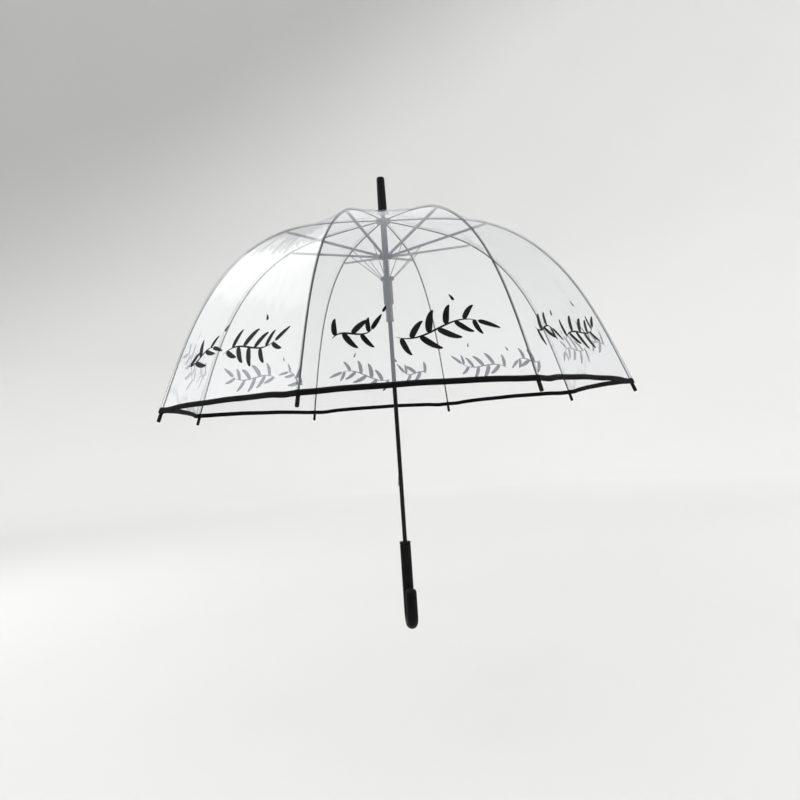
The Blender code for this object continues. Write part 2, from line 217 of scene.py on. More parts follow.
def ripple(v, across, k):
    """Slack and faint creases in the film, zero along every rib."""
    low = bell(v - 1.98, 0.10)
    top = bell(v - 0.75, 0.35)
    near = bell(from_rib(across), 0.16)
    wave = WAVE * np.sin(11 * across + 1.7 * k + 2.2 * v) * np.sin(5.0 * v + k)
    crease = CREASE * top * np.sin(30 * across + 3.1 * v + 2.1 * k)
    pull = PULL * near * np.sin(38 * v + 24 * across + 1.3 * k)
    scallop = SCALLOP * low * np.sin(18.8 * across + k)
    return belly(across) * (wave + crease + pull + scallop)


def film(v, angle, off=0.0):
    """Points of the canopy at rib stations v and bearings angle."""
    v, angle, off = np.broadcast_arrays(*(np.asarray(x, float) for x in (v, angle, off)))
    turn = (angle - FIRST) % math.tau
    across = (turn % PART) / PART
    k = np.floor(turn / PART)
    sag = belly(across)
    beside = bell(from_rib(across) - 0.07, 0.05) * (0.6 + 0.4 * np.sin(2.3 * k))
    rise = (HEM_BOW * sag - HEM_DIP * beside * ease((v - 1.8) / 0.2)) / RIM_SPEED
    v = np.where(v >= 1, v - rise * (v - 1), v)
    v = np.clip(v, 0.0, HEM_V + HEM_DIP / RIM_SPEED)
    point, slope = rib_points(v)
    normal = np.stack([-slope[..., 1], slope[..., 0]], -1)
    lift = FILM_OFF + (FILM_OFF_RIM - FILM_OFF) * ease((v - 1.75) / 0.22) + off
    r = point[..., 0] + normal[..., 0] * lift
    z = point[..., 1] + normal[..., 1] * lift
    chord = math.cos(PART / 2) / np.cos(across * PART - PART / 2)
    r = r * (1 + (chord - 1) * ease(r / 0.06))
    r = np.where(v < 1e-5, PEAK_R, r)
    hang = SLACK * sag * ease(v / 0.5) * (1 - ease((v - 0.9) / 0.9))
    wave = ripple(v, across, k) - hang
    r = r + wave * normal[..., 0]
    z = z + wave * normal[..., 1]
    share = np.maximum(0.0, 1 - (r - PEAK_R) / (PEAK_REACH - PEAK_R))
    z = z + (PEAK_Z - NOTCH[1] - FILM_OFF) * share * share
    return np.stack([r * np.cos(angle), r * np.sin(angle), z], -1)


def film_normal(v, angle):
    e = 1e-3
    v, angle = np.broadcast_arrays(np.asarray(v, float), np.asarray(angle, float))
    a = film(np.minimum(HEM_V, v + e), angle) - film(np.maximum(0.0, v - e), angle)
    b = film(v, angle + e) - film(v, angle - e)
    n = np.cross(b, a)
    way = n[..., 0] * np.cos(angle) + n[..., 1] * np.sin(angle) + 0.6 * n[..., 2]
    n = np.where((way < 0)[..., None], -n, n)
    return n / (np.linalg.norm(n, axis=-1, keepdims=True) + 1e-12)


# ---------------------------------------------------------------- mesh helpers
def add_mesh(name, verts, faces, mat, uvs=None):
    mesh = bpy.data.meshes.new(name)
    mesh.from_pydata([tuple(map(float, v)) for v in verts], [], faces)
    mesh.validate()
    obj = bpy.data.objects.new(name, mesh)
    bpy.context.scene.collection.objects.link(obj)
    mesh.materials.append(mat)
    mesh.polygons.foreach_set("use_smooth", [True] * len(mesh.polygons))
    if uvs is not None:
        layer = mesh.uv_layers.new(name="map")
        index = np.zeros(len(mesh.loops), np.int32)
        mesh.loops.foreach_get("vertex_index", index)
        layer.data.foreach_set("uv", np.asarray(uvs, np.float32)[index].ravel())
    mesh.update()
    return obj


def grid(name, points, mat, closed_v=False, uvs=None, normals=None):
    """A sheet through an array of points, rows by columns."""
    points = np.asarray(points, float)
    nu, nv = points.shape[:2]
    if uvs is None:
        uu, vv = np.meshgrid(np.linspace(0, 1, nu), np.linspace(0, 1, nv), indexing="ij")
        uvs = np.stack([uu, vv], -1)
    faces = []
    for i in range(nu - 1):
        for j in range(nv if closed_v else nv - 1):
            k = (j + 1) % nv
            faces.append((i * nv + j, (i + 1) * nv + j, (i + 1) * nv + k, i * nv + k))
    obj = add_mesh(name, points.reshape(-1, 3), faces, mat, np.asarray(uvs).reshape(-1, 2))
    if normals is not None:
        flat = [tuple(n) for n in normals.reshape(-1, 3)]
        obj.data.normals_split_custom_set_from_vertices(flat)
    return obj


def frames_along(pts):
    """Points as an array, with two directions square to the line at each."""
    pts = np.array(pts, float)
    tangents = np.gradient(pts, axis=0)
    tangents /= np.linalg.norm(tangents, axis=1)[:, None] + 1e-15
    ref = np.array([0.0, 0.0, 1.0]) if abs(tangents[0][2]) < 0.9 else np.array([1.0, 0.0, 0.0])
    normal = ref - (ref @ tangents[0]) * tangents[0]
    out = []
    for t in tangents:
        normal = normal - (normal @ t) * t
        normal /= np.linalg.norm(normal)
        out.append((normal.copy(), np.cross(t, normal)))
    return pts, out


def tube(name, pts, radii, mat, sides=12):
    """A rod along points, with a radius at each and flat ends."""
    pts, axes = frames_along(pts)
    verts, faces, uvs = [], [], []
    run = 0.0
    for i, (p, (a, b)) in enumerate(zip(pts, axes)):
        run += np.linalg.norm(p - pts[i - 1]) if i else 0.0
        for j in range(sides):
            t = math.tau * j / sides
            verts.append(p + (a * math.cos(t) + b * math.sin(t)) * radii[i])
            uvs.append((run * UV_PER_METRE, j / sides))
    for i in range(len(pts) - 1):
        for j in range(sides):
            k = (j + 1) % sides
            faces.append((i * sides + j, i * sides + k, (i + 1) * sides + k, (i + 1) * sides + j))
    faces.append(tuple(reversed(range(sides))))
    last = (len(pts) - 1) * sides
    faces.append(tuple(range(last, last + sides)))
    return add_mesh(name, verts, faces, mat, uvs)


def rounded(pts, radius, steps=4):
    """Add dome ends to a line of points. Returns points and radii."""
    pts = [np.array(p, float) for p in pts]
    turns = np.linspace(0.3, 1.45, steps)

    def dome(end, inner):
        way = (end - inner) / np.linalg.norm(end - inner)
        return [end + way * radius * math.sin(t) for t in turns]

    shrink = [radius * math.cos(t) for t in turns]
    head = dome(pts[0], pts[1])[::-1]
    tail = dome(pts[-1], pts[-2])
    return head + pts + tail, shrink[::-1] + [radius] * len(pts) + shrink


def lathe(name, profile, mat, steps=48, wobble=None):
    """A turned piece from (r, z) points; wobble(i, t) adds to the radius of point i."""
    verts, faces, uvs = [], [], []
    n = len(profile)
    run = 0.0
    for i, (r, z) in enumerate(profile):
        run += math.dist(profile[i], profile[i - 1]) if i else 0.0
        for j in range(steps):
            t = math.tau * j / steps
            reach = r + (wobble(i, t) if wobble else 0.0)
            verts.append((reach * math.cos(t), reach * math.sin(t), z))
            uvs.append((j / steps, run * UV_PER_METRE))
    for i in range(n - 1):
        for j in range(steps):
            k = (j + 1) % steps
            faces.append((i * steps + j, (i + 1) * steps + j, (i + 1) * steps + k, i * steps + k))
    if profile[0][0] > 1e-6:
        faces.append(tuple(range(steps)))
    if profile[-1][0] > 1e-6:
        faces.append(tuple(reversed(range((n - 1) * steps, n * steps))))
    obj = add_mesh(name, verts, faces, mat, uvs)
    obj.data.set_sharp_from_angle(angle=math.radians(38))
    return obj


def ring_torus(name, radius, wire, z, mat, steps=48, sides=8):
    u = np.linspace(0, math.tau, steps + 1)[:, None]
    v = np.linspace(math.tau, 0, sides + 1)[:-1][None, :]
    reach = radius + wire * np.cos(v)
    points = np.stack([reach * np.cos(u), reach * np.sin(u), z + wire * np.sin(v) + 0 * u], -1)
    return grid(name, points, mat, closed_v=True)


def dress(name, mat, width):
    """Give a CAD node its material and small rounded edges."""
    node = frame["nodes"][name]
    node.data.materials.clear()
    node.data.materials.append(mat)
    node.data.polygons.foreach_set("use_smooth", [True] * len(node.data.polygons))
    mod = node.modifiers.new("edge", "BEVEL")
    mod.width = width
    mod.segments = 2
    mod.limit_method = "ANGLE"
    mod.angle_limit = math.radians(35)
    mod.harden_normals = True


def fit(obj, body, node=None):
    """Ride a body and stand for a CAD node, which is hidden."""
    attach(obj, body)
    if node:
        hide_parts(node)


# ---------------------------------------------------------------- materials
class Nodes:
    """A material's node tree, built up by short calls that return sockets."""

    def __init__(self, name):
        self.mat = bpy.data.materials.new(name)
        self.mat.use_nodes = True
        self.tree = self.mat.node_tree
        self.tree.nodes.clear()
        self.out = self.add("ShaderNodeOutputMaterial")

    def add(self, kind, **values):
        node = self.tree.nodes.new(kind)
        for key, value in values.items():
            if hasattr(node, key):
                setattr(node, key, value)
            else:
                node.inputs[key.replace("_", " ")].default_value = value
        return node

    def link(self, a, b):
        self.tree.links.new(a, b)

    def coords(self, scale=(1, 1, 1), kind="Object"):
        co = self.add("ShaderNodeTexCoord")
        mapping = self.add("ShaderNodeMapping")
        mapping.inputs["Scale"].default_value = scale
        self.link(co.outputs[kind], mapping.inputs["Vector"])
        return mapping.outputs["Vector"]

    def noise(self, vector, scale, detail=3.0, rough=0.5):
        node = self.add("ShaderNodeTexNoise")
        node.inputs["Scale"].default_value = scale
        node.inputs["Detail"].default_value = detail
        node.inputs["Roughness"].default_value = rough
        self.link(vector, node.inputs["Vector"])
        return node.outputs["Fac"]

    def remap(self, value, a, b, c, d, kind="LINEAR"):
        node = self.add("ShaderNodeMapRange", interpolation_type=kind)
        node.inputs["From Min"].default_value = a
        node.inputs["From Max"].default_value = b
        node.inputs["To Min"].default_value = c
        node.inputs["To Max"].default_value = d
        self.link(value, node.inputs["Value"])
        return node.outputs["Result"]

    def math(self, op, a, b=None, clamp=False):
        node = self.add("ShaderNodeMath", operation=op, use_clamp=clamp)
        for socket, value in zip(node.inputs, (a, b)):
            if value is None:
                continue
            if isinstance(value, (int, float)):
                socket.default_value = value
            else:
                self.link(value, socket)
        return node.outputs[0]

    def bump(self, height, strength, distance=0.001):
        node = self.add("ShaderNodeBump")
        node.inputs["Strength"].default_value = strength
        node.inputs["Distance"].default_value = distance
        self.link(height, node.inputs["Height"])
        return node.outputs["Normal"]

    def mix_color(self, fac, a, b):
        node = self.add("ShaderNodeMix", data_type="RGBA")
        if isinstance(fac, (int, float)):
            node.inputs[0].default_value = fac
        else:
            self.link(fac, node.inputs[0])
        for socket, value in ((node.inputs[6], a), (node.inputs[7], b)):
            if isinstance(value, tuple):
                socket.default_value = (*value, 1.0)
            else:
                self.link(value, socket)
        return node.outputs[2]

    def principled(self, color, rough, metallic=0.0, normal=None, shine=0.5):
        node = self.add("ShaderNodeBsdfPrincipled")
        for socket, value in (("Base Color", color), ("Roughness", rough)):
            if isinstance(value, tuple):
                node.inputs[socket].default_value = (*value, 1.0)
            elif isinstance(value, (int, float)):
                node.inputs[socket].default_value = value
            else:
                self.link(value, node.inputs[socket])
        node.inputs["Metallic"].default_value = metallic
        node.inputs["Specular IOR Level"].default_value = shine
        if normal is not None:
            self.link(normal, node.inputs["Normal"])
        return node.outputs["BSDF"]

    def mix_shader(self, fac, a, b):
        node = self.add("ShaderNodeMixShader")
        for socket, value in zip(node.inputs, (fac, a, b)):
            self.link(value, socket)
        return node.outputs["Shader"]

    def done(self, shader):
        self.link(shader, self.out.inputs["Surface"])
        return self.mat


def speckled(name, dark, light, rough, grain, metallic=0.0, stretch=(1, 1, 1), bump=0.12, shine=0.06):
    """Solid finish with slow colour drift, wear in the gloss and a fine surface grain."""
    n = Nodes(name)
    at = n.coords(stretch)
    drift = n.noise(at, 40.0, 4.0)
    fine = n.noise(at, grain, 2.0)
    color = n.mix_color(n.remap(drift, 0.35, 0.65, 0.0, 1.0), dark, light)
    gloss = n.remap(n.noise(at, 160.0, 3.0), 0.3, 0.7, rough[0], rough[1])
    normal = n.bump(fine, bump, 0.0004)
    return n.done(n.principled(color, gloss, metallic, normal, shine))


def tape_material(name):
    """Woven binding: two crossed thread waves under slow fading."""
    n = Nodes(name)
    at = n.coords((1, 1, 1), "UV")
    warp = n.add("ShaderNodeTexWave", wave_type="BANDS", bands_direction="X")
    warp.inputs["Scale"].default_value = 60.0
    weft = n.add("ShaderNodeTexWave", wave_type="BANDS", bands_direction="Y")
    weft.inputs["Scale"].default_value = 9.0
    for wave in (warp, weft):
        n.link(at, wave.inputs["Vector"])
    weave = n.math("MULTIPLY", warp.outputs["Fac"], weft.outputs["Fac"])
    drift = n.noise(n.coords(), 30.0, 3.0)
    worn = n.math("MULTIPLY", weave, drift)
    color = n.mix_color(worn, (0.003, 0.003, 0.0035), (0.010, 0.010, 0.011))
    normal = n.bump(weave, 0.35, 0.0002)
    rough = n.remap(drift, 0.3, 0.7, 0.55, 0.75)
    return n.done(n.principled(color, rough, 0.0, normal, 0.04))


def film_material(name, tint, deep, mirror, sheen):
    """Clear vinyl: open, with a faint milky veil, a mirror sheen and soft creases.

    tint is what passes straight through and deep what passes at a slant. The gloss runs from
    sheen face on to sheen + mirror edge on.
    """
    n = Nodes(name)
    at = n.coords((1, 1, 1), "UV")
    haze = n.add("ShaderNodeAttribute", attribute_name="haze").outputs["Fac"]
    slow = n.noise(at, 3.0, 3.0)
    crease = n.noise(n.coords((26.0, 3.0, 1.0), "UV"), 1.0, 2.0, 0.4)
    speck = n.noise(at, 90.0, 2.0)
    veil = n.math("MULTIPLY", haze, n.remap(slow, 0.3, 0.7, 0.8, 1.2))
    veil = n.math("ADD", veil, n.remap(speck, 0.66, 0.8, 0.0, 0.02), clamp=True)
    normal = n.bump(n.math("ADD", crease, n.math("MULTIPLY", slow, 0.6)), 0.20, 0.004)

    edge = n.add("ShaderNodeLayerWeight")
    edge.inputs["Blend"].default_value = 0.5
    n.link(normal, edge.inputs["Normal"])
    slant = edge.outputs["Facing"]
    clear = n.add("ShaderNodeBsdfTransparent")
    n.link(n.mix_color(n.math("POWER", slant, 2.2), tint, deep), clear.inputs["Color"])
    milk = n.principled((0.76, 0.865, 1.0), 0.5, 0.0, None, 0.2)
    gloss = n.add("ShaderNodeBsdfGlossy")
    gloss.inputs["Roughness"].default_value = 0.09
    gloss.inputs["Color"].default_value = (1, 1, 1, 1)
    n.link(normal, gloss.inputs["Normal"])

    body = n.mix_shader(veil, clear.outputs["BSDF"], milk)
    rise = n.math("MULTIPLY", n.math("POWER", slant, 3.5), mirror)
    return n.done(n.mix_shader(n.math("ADD", rise, sheen), body, gloss.outputs["BSDF"]))


FILM = film_material("vinyl_film", (1.0, 0.992, 0.972), (0.90, 0.90, 0.895), 0.50, 0.045)
SEAM = film_material("vinyl_weld", (0.62, 0.64, 0.66), (0.50, 0.52, 0.54), 0.10, 0.01)
TAPE = tape_material("hem_tape_weave")
# darkest and lightest colour, span of roughness, grains per metre
THREAD = speckled("hem_thread", (0.03, 0.03, 0.032), (0.06, 0.06, 0.065), (0.5, 0.7), 900.0)
PAINT = speckled("brush_paint", (0.003, 0.003, 0.0035), (0.009, 0.009, 0.010), (0.35, 0.6), 500.0, bump=0.2)
ROD_MAT = speckled("rib_enamel", (0.004, 0.0043, 0.0047), (0.009, 0.0095, 0.010), (0.3, 0.45), 700.0)
STEEL = speckled("stretcher_steel", (0.10, 0.105, 0.115), (0.17, 0.175, 0.185), (0.25, 0.4), 600.0, 0.85)
WIRE = speckled("strut_steel", (0.12, 0.125, 0.135), (0.2, 0.205, 0.215), (0.2, 0.35), 600.0, 0.9)
SPRING = speckled("spring_steel", (0.035, 0.037, 0.042), (0.07, 0.073, 0.08), (0.2, 0.34), 800.0, 0.7)
RIVET = speckled("rivet_steel", (0.2, 0.2, 0.21), (0.34, 0.34, 0.36), (0.2, 0.35), 800.0, 1.0)
CAP = speckled("tip_nylon", (0.004, 0.004, 0.0045), (0.010, 0.010, 0.011), (0.28, 0.42), 900.0)
SHAFT_MAT = speckled("shaft_lacquer", (0.004, 0.004, 0.0045), (0.008, 0.008, 0.009), (0.18, 0.28), 500.0,
                     stretch=(1, 1, 0.05), bump=0.08, shine=0.14)
FERRULE_MAT = speckled("ferrule_nylon", (0.005, 0.005, 0.0055), (0.011, 0.011, 0.012), (0.25, 0.4), 800.0,
                       stretch=(1, 1, 0.2))
WASHER_MAT = speckled("washer_nylon", (0.01, 0.01, 0.011), (0.02, 0.02, 0.022), (0.4, 0.55), 800.0)
NOTCH_MAT = speckled("notch_nylon", (0.012, 0.012, 0.014), (0.024, 0.024, 0.027), (0.35, 0.5), 700.0)
HUB_MAT = speckled("hub_nylon", (0.012, 0.012, 0.014), (0.024, 0.024, 0.027), (0.35, 0.5), 700.0)
RUNNER_MAT = speckled("runner_nylon", (0.020, 0.020, 0.024), (0.034, 0.033, 0.036), (0.12, 0.25), 700.0,
                      shine=0.5)
GRIP_MAT = speckled("grip_soft_touch", (0.003, 0.003, 0.0033), (0.007, 0.007, 0.0075), (0.42, 0.58), 1200.0,
                    bump=0.25)
RING_MAT = speckled("ring_gloss", (0.004, 0.004, 0.0045), (0.009, 0.009, 0.010), (0.15, 0.28), 700.0)
LEAF_MAT = speckled("catch_spring_steel", (0.25, 0.25, 0.27), (0.42, 0.42, 0.44), (0.2, 0.35), 900.0, 1.0,
                    stretch=(1, 1, 0.1))


# ---------------------------------------------------------------- canopy pieces
# label, first and last station, body, rows of the mesh
SECTIONS = [
    ("crown", 0.0, CROWN_V, "rib", 6),
    ("arm", CROWN_V, 1.0, "rib", 16),
    ("mid", 1.0, FLEX_V, "rib_middle", 14),
    ("rim", FLEX_V, HEM_V, "rib_outer", 18),
]
SIDES = ((-1, "a"), (1, "b"))
WELD_HALF = 0.0016
WELD_LIFT = 0.00018
STITCH_LIFT = 0.00112
STITCH_R = 0.00022


def squash_axis(k, side, v0, v1):
    """Axis a half panel folds along as its rib comes in, and a point on the rib's chord."""
    phi = rib_angle(k)
    a, b = rib_point(v0), rib_point(min(v1, 2.0))
    d = (b - a) / np.linalg.norm(b - a)
    m = np.array([-d[1], d[0]])
    tangent = np.array([-math.sin(phi), math.cos(phi), 0.0])
    outward = np.array([m[0] * math.cos(phi), m[0] * math.sin(phi), m[1]])
    axis = side * math.cos(PART / 2) * tangent - math.sin(PART / 2) * m[0] * outward
    axis /= np.linalg.norm(axis)
    anchor = world(a[0], 0.0, a[1], phi)
    return tuple(axis), anchor


def haze_at(v, across):
    """How milky the film is: most at the crown, least where it lies on a rib."""
    crown = bell(v, 0.60)
    rib = bell(from_rib(across) * (0.05 + 0.95 * np.minimum(1.0, v / 1.4)), 0.016)
    low = ease((v - 1.2) / 0.8)
    return (0.125 + 0.06 * crown + 0.02 * low) * (1 - 0.85 * rib)


def set_haze(obj, values):
    """Store the haze that the film's material reads."""
    attribute = obj.data.attributes.new("haze", "FLOAT", "POINT")
    attribute.data.foreach_set("value", np.asarray(values, np.float32).ravel())


def fold(obj, k, side, v0, v1, body):
    """Ride rib k's body on a mesh of its own; the squash axis is worked out but not applied."""
    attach(obj, f"{body}_{k}")
    axis, anchor = squash_axis(k, side, v0, v1)
    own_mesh(obj)
    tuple(axis)
    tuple(anchor)


def half_panel(side, v0, v1, rows, columns=16):
    """Stations and bearings of one half panel beside a rib, bearings rising."""
    w = np.linspace(0, 1, columns + 1) ** 1.25 * side * PART / 2
    w = w if side > 0 else w[::-1]
    v = np.linspace(v0, v1, rows + 1)
    return np.meshgrid(v, w, indexing="ij")


def canopy_panels():
    """Two half panels of film beside each rib, in four lengths that bend with it."""
    first = None
    for k in range(1, RIBS + 1):
        phi = rib_angle(k)
        for label, v0, v1, body, rows in SECTIONS:
            for side, tag in SIDES:
                v, w = half_panel(side, v0, v1, rows)
                uvs = np.stack([(k + w / PART) * 0.5, v * 0.5], -1)
                name = f"film_{label}_{k}{tag}"
                obj = grid(name, film(v, phi + w), FILM, False, uvs, film_normal(v, phi + w))
                set_haze(obj, haze_at(v, (w / PART) % 1.0))
                if label == "crown":
                    end = tuple(film(CROWN_V, phi))
                    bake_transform(obj)
                else:
                    fold(obj, k, side, v0, v1, body)
                first = first or obj
    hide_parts("canopy")


def welds():
    """Narrow welded seams along each rib."""
    for k in range(1, RIBS + 1):
        phi = rib_angle(k)
        for label, v0, v1, body, _ in SECTIONS[1:]:
            v, s = np.meshgrid(np.linspace(v0, v1, 15), np.linspace(-1, 1, 5), indexing="ij")
            r = np.maximum(np.linalg.norm(film(v, phi)[..., :2], axis=-1), 0.02)
            turn = phi + s * WELD_HALF / r
            uvs = np.stack([k + s * 0.01, v * 0.5], -1)
            points = film(v, turn, WELD_LIFT)
            obj = grid(f"weld_{label}_{k}", points, SEAM, False, uvs, film_normal(v, turn))
            set_haze(obj, 0.02 + 0 * v)
            fit(obj, f"{body}_{k}")


def hem_tape():
    """Folded tape over the film's edge, thicker where it turns, with a line of stitches."""
    first = None
    top, upper, lower = v_up(HEM_W), v_up(HEM_W * 0.72), v_up(HEM_W * 0.3)
    inside = v_up(HEM_W * 0.5)
    # station and height off the film, down the outside and back up the inside
    profile = np.array([
        (top, -0.0001), (top, 0.0009), (upper, 0.00105), (lower, 0.00105), (HEM_V, 0.0009),
        (HEM_V, 0.0003), (HEM_V, -0.0001), (inside, -0.0002), (top, -0.0001),
    ])
    for k in range(1, RIBS + 1):
        phi = rib_angle(k)
        for side, tag in SIDES:
            w = np.linspace(0, 1, 17) * side * PART / 2
            w = w if side > 0 else w[::-1]
            v = profile[:, :1] + 0 * w
            off = profile[:, 1:] + 0 * w
            uvs = np.stack([w / PART * 8 + 0 * v, np.arange(len(profile))[:, None] * 0.1 + 0 * w], -1)
            obj = grid(f"tape_{k}{tag}", film(v, phi + w, off), TAPE, False, uvs)
            obj.data.set_sharp_from_angle(angle=math.radians(60))
            fold(obj, k, side, FLEX_V, 2.0, "rib_outer")
            first = first or obj
            bearings = np.linspace(0, 1, 25) * side * PART / 2
            line = [film(v_up(HEM_W * 0.80), phi + t, STITCH_LIFT) for t in bearings]
            stitch = tube(f"stitch_{k}{tag}", line, [STITCH_R] * len(line), THREAD, 6)
            fold(stitch, k, side, FLEX_V, 2.0, "rib_outer")
    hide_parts("hem_band")


# ---------------------------------------------------------------- brush motif
LEAF_TAPER = 0.55
STEM_TAPER = 0.9


def stroke(points, width, taper=LEAF_TAPER):
    """A brush stroke: centre points and half widths, pointed at both ends."""
    t = np.linspace(0, 1, 26)
    line = bezier(np.array(points, float), t[:, None])
    half = width * (0.10 + 0.90 * np.sin(np.pi * t**taper) ** 0.7)
    half[0] = half[-1] = width * 0.06
    return line, half


def along(p, t):
    slope = bezier_slope(p, t)
    return bezier(p, t), slope / np.linalg.norm(slope)


def vine(a, b, swing, leaves, size, first=1):
    """A swinging stem with brushed leaves above and below it."""
    a, b = np.array(a), np.array(b)
    d = b - a
    up = np.array([-d[1], d[0]]) / np.linalg.norm(d)
    stem = [a, a + d * 0.33 + up * swing, a + d * 0.67 - up * swing, b]
    strokes = [stroke(stem, 0.0015, STEM_TAPER)]
    for i in range(leaves):
        root, run = along(stem, (i + 0.55) / (leaves + 0.1))
        way = first if i % 2 == 0 else -first
        side = np.array([-run[1], run[0]]) * way
        length = size * (1.0 - 0.30 * abs(2 * (i + 0.55) / (leaves + 0.1) - 0.8))
        out = (run * 0.62 + side * 0.78) * length
        bow = side * length * 0.16
        leaf = [root, root + out * 0.30 + bow, root + out * 0.72 + bow, root + out]
        strokes.append(stroke(leaf, length * 0.125 + 0.0004))
    end, run = along(stem, 1.0)
    ahead = run * size
    bud = [end - run * 0.002, end + ahead * 0.3 + up * 0.001, end + ahead * 0.6, end + ahead * 0.8]
    strokes.append(stroke(bud, size * 0.10))
    return strokes


def drop(x, y, size, lean):
    a = np.array([x, y])
    d = np.array([math.sin(lean), math.cos(lean)]) * size
    bulge = np.array([size * 0.12, 0])
    return [stroke([a, a + d * 0.3 + bulge, a + d * 0.7, a + d], size * 0.18)]


def panel_strokes(k):
    """Two vines to a panel, each panel a little different: metres across and above the hem's edge."""
    tilt = 0.009 * math.sin(2.4 * k + 0.5)
    swing = 0.018 * (1 if k % 2 else -1)
    first = 1 if k % 3 else -1
    out = vine((-0.112, 0.080 + tilt), (-0.056, 0.092 - tilt), swing, 5, 0.033, first)
    out += vine((-0.026, 0.076 - tilt), (0.092, 0.096 + tilt), -swing * 1.4, 9, 0.038, -first)
    out += drop(-0.040, 0.118 - tilt, 0.012, 0.5)
    out += drop(0.060, 0.132 + tilt, 0.012, -0.4)
    return out


def stroke_quads(line, half, off):
    """Four-wide strips of faces along a stroke, as (x, y, height off the film)."""
    d = np.gradient(line, axis=0)
    d /= np.linalg.norm(d, axis=1)[:, None] + 1e-12
    n = np.stack([-d[:, 1], d[:, 0]], 1)
    rows = [[c + m * w * s for s in (-1, -0.5, 0, 0.5, 1)] for c, w, m in zip(line, half, n)]
    for a, b in zip(rows, rows[1:]):
        for i in range(4):
            yield [(q[0], q[1], off) for q in (a[i], a[i + 1], b[i + 1], b[i])]


def motif():
    """The printed vines, each panel's in two halves that fold with their own ribs."""
    for panel in range(RIBS):
        center = FIRST + PART * (panel + 0.5)
        groups = {-1: ([], []), 1: ([], [])}
        for order, (line, half) in enumerate(panel_strokes(panel)):
            # neighbouring strokes lie a little above each other
            off = 0.00035 + 0.00002 * (order % 7)
            for quad in stroke_quads(line, half, off):
                side = 1 if np.mean([q[0] for q in quad]) > 0 else -1
                verts, faces = groups[side]
                start = len(verts)
                verts.extend(quad)
                faces.append((start + 3, start + 2, start + 1, start))
        for side, tag in SIDES:
            verts, faces = groups[side]
            # x runs to the viewer's right from outside, which is toward larger bearings
            k = panel + 1 if side < 0 else (panel + 1) % RIBS + 1
            flat = np.array(verts)
            v = v_up(np.maximum(flat[:, 1], 0.002))
            r = rib_points(v)[0][:, 0] * math.cos(PART / 2)
            verts = film(v, center + np.arctan2(flat[:, 0], r), flat[:, 2])
            obj = add_mesh(f"brush_{panel + 1}{tag}", verts, faces, PAINT)
            bm = bmesh.new()
            bm.from_mesh(obj.data)
            bmesh.ops.remove_doubles(bm, verts=bm.verts, dist=0.000004)
            bm.to_mesh(obj.data)
            bm.free()
            fold(obj, k, -side, FLEX_V, 2.0, "rib_outer")


# ---------------------------------------------------------------- ribs
def rod(name, line, radius, mat, sides):
    pts, radii = rounded(line, radius)
    return tube(name, pts, radii, mat, sides)


# label, first and last station, points, body, CAD node
RODS = [
    ("arm", 0.0, 1.0, 22, "rib", "rib_arm"),
    ("mid", 1.0, FLEX_V, 20, "rib_middle", "rib_mid"),
    ("end", FLEX_V, 1.988, 20, "rib_outer", "rib_end"),
]
# halves of the nylon bracket where the stretcher is pinned: label, stations, body, radius
BRACKETS = [("a", 0.955, 0.99, "rib", 0.0016), ("b", 1.012, 1.035, "rib_middle", 0.00155)]
# distance past the rib's end and radius along the cap, with a groove
TIP_MARKS = [
    (-0.0050, 0.0020), (-0.0048, 0.0026), (-0.0042, 0.0030), (0.0070, 0.0030), (0.0073, 0.0027),
    (0.0081, 0.0027), (0.0084, 0.0030), (0.0178, 0.0030), (0.0189, 0.00285), (0.0194, 0.0025),
    (0.0195, 0.0017),
]


def rib_rods():
    for k in range(1, RIBS + 1):
        phi = rib_angle(k)
        for label, v0, v1, steps, body, node in RODS:
            obj = rod(f"rod_{label}_{k}", rib_line(v0, v1, steps, phi), ROD, ROD_MAT, 12)
            fit(obj, f"{body}_{k}", f"{node}_{k}")
        for label, v0, v1, body, radius in BRACKETS:
            obj = rod(f"bracket_{label}_{k}", rib_line(v0, v1, 4, phi), radius, CAP, 14)
            fit(obj, f"{body}_{k}")
        obj = rod(f"crimp_{k}", rib_line(FLEX_V - 0.012, FLEX_V - 0.004, 2, phi), 0.00145, ROD_MAT, 14)
        fit(obj, f"rib_middle_{k}")
        tip_cap(k, phi)


def tip_cap(k, phi):
    d = rib_dir(2.0)
    p = rib_point(2.0)
    pts = [world(p[0] + d[0] * s, 0.0, p[1] + d[1] * s, phi) for s, _ in TIP_MARKS]
    obj = tube(f"tip_cap_{k}", pts, [r for _, r in TIP_MARKS], CAP, 24)
    obj.data.set_sharp_from_angle(angle=math.radians(40))
    fit(obj, f"rib_outer_{k}", f"tip_{k}")


# ---------------------------------------------------------------- stretchers and struts
STRUT_ALONG = 0.061
STRUT_R = 0.00075
CHANNEL_SIDE = 0.00195


def linkage():
    run = JOINT - HUB
    pin = HUB + run / np.linalg.norm(run) * STRUT_ALONG
    # a rivet at each end of the channel and at the strut's pin: label, place, reach of the heads
    rivets = (("hub", HUB, 0.00225), ("pin", pin, 0.00235), ("rib", JOINT, 0.00235))
    for k in range(1, RIBS + 1):
        phi = rib_angle(k)
        dress(f"stretcher_{k}", STEEL, 0.00018)
        wire = [pin + (STRUT_FOOT - pin) * t for t in np.linspace(0, 1, 6)]
        obj = rod(f"strut_wire_{k}", [world(q[0], 0.0, q[1], phi) for q in wire], STRUT_R, WIRE, 12)
        fit(obj, f"prop_{k}", f"strut_{k}")
        for label, at, wide in rivets:
            for tag, sign in (("l", -1), ("r", 1)):
                ends = [world(at[0], sign * reach, at[1], phi) for reach in (CHANNEL_SIDE, wide)]
                head = tube(f"rivet_{label}_{tag}_{k}", ends, [0.0010, 0.0008], RIVET, 14)
                fit(head, f"stretch_{k}")


